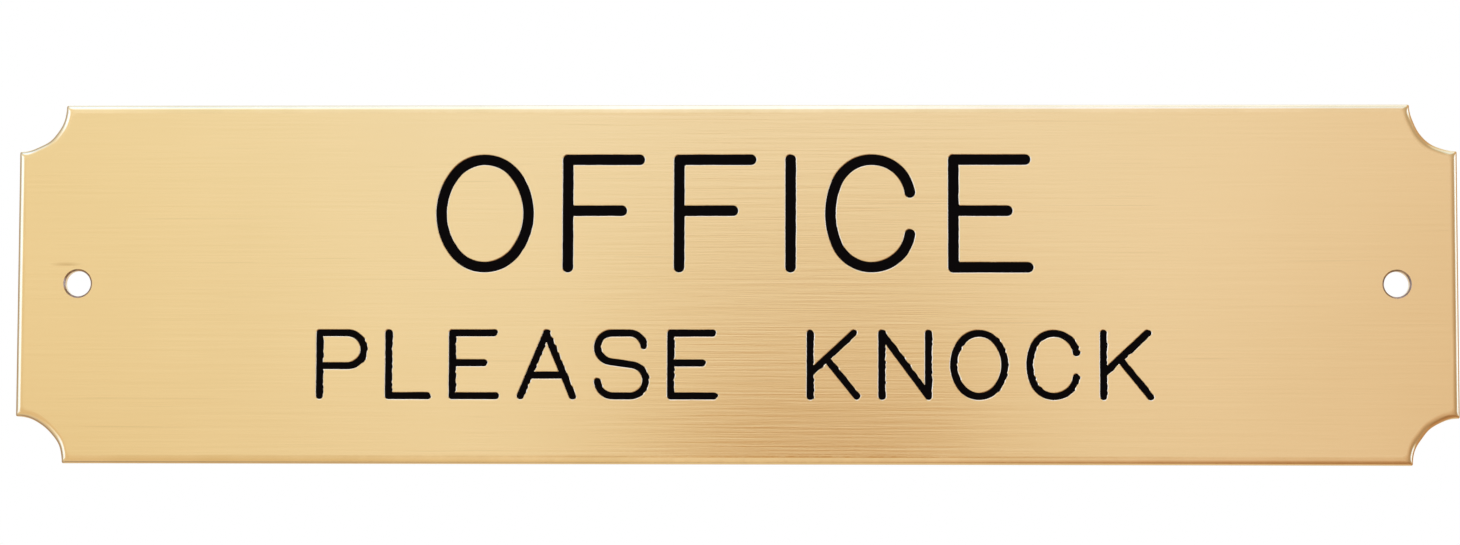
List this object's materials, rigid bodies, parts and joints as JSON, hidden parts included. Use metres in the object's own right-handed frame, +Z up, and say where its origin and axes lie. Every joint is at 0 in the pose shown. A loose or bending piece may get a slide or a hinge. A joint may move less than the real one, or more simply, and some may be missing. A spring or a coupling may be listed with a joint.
{
  "type": "engraved name plate",
  "caption": "Flat brass door plate with four scooped corners, a rolled face edge, two screw holes and two lines of black-filled engraved lettering.",
  "frame": {"origin": "centre of the flat back face, which lies against the door", "axes": "+X along the length to the reader's right, +Z up, +Y into the door: the engraved face looks along -Y"},
  "size_m": [0.2032, 0.0016, 0.0508],
  "materials": {
    "brass": "satin, brushed along the length, lacquered",
    "black_enamel": "satin black engraver's enamel"
  },
  "bodies": {
    "root": {"brass_plate": "brass", "enamel_large_01_O": "black_enamel", "enamel_large_02_F": "black_enamel", "enamel_large_03_F": "black_enamel", "enamel_large_04_I": "black_enamel", "enamel_large_05_C": "black_enamel", "enamel_large_06_E": "black_enamel", "enamel_small_01_P": "black_enamel", "enamel_small_02_L": "black_enamel", "enamel_small_03_E": "black_enamel", "enamel_small_04_A": "black_enamel", "enamel_small_05_S": "black_enamel", "enamel_small_06_E": "black_enamel", "enamel_small_07_K": "black_enamel", "enamel_small_08_N": "black_enamel", "enamel_small_09_O": "black_enamel", "enamel_small_10_C": "black_enamel", "enamel_small_11_K": "black_enamel"}
  },
  "joints": []
}
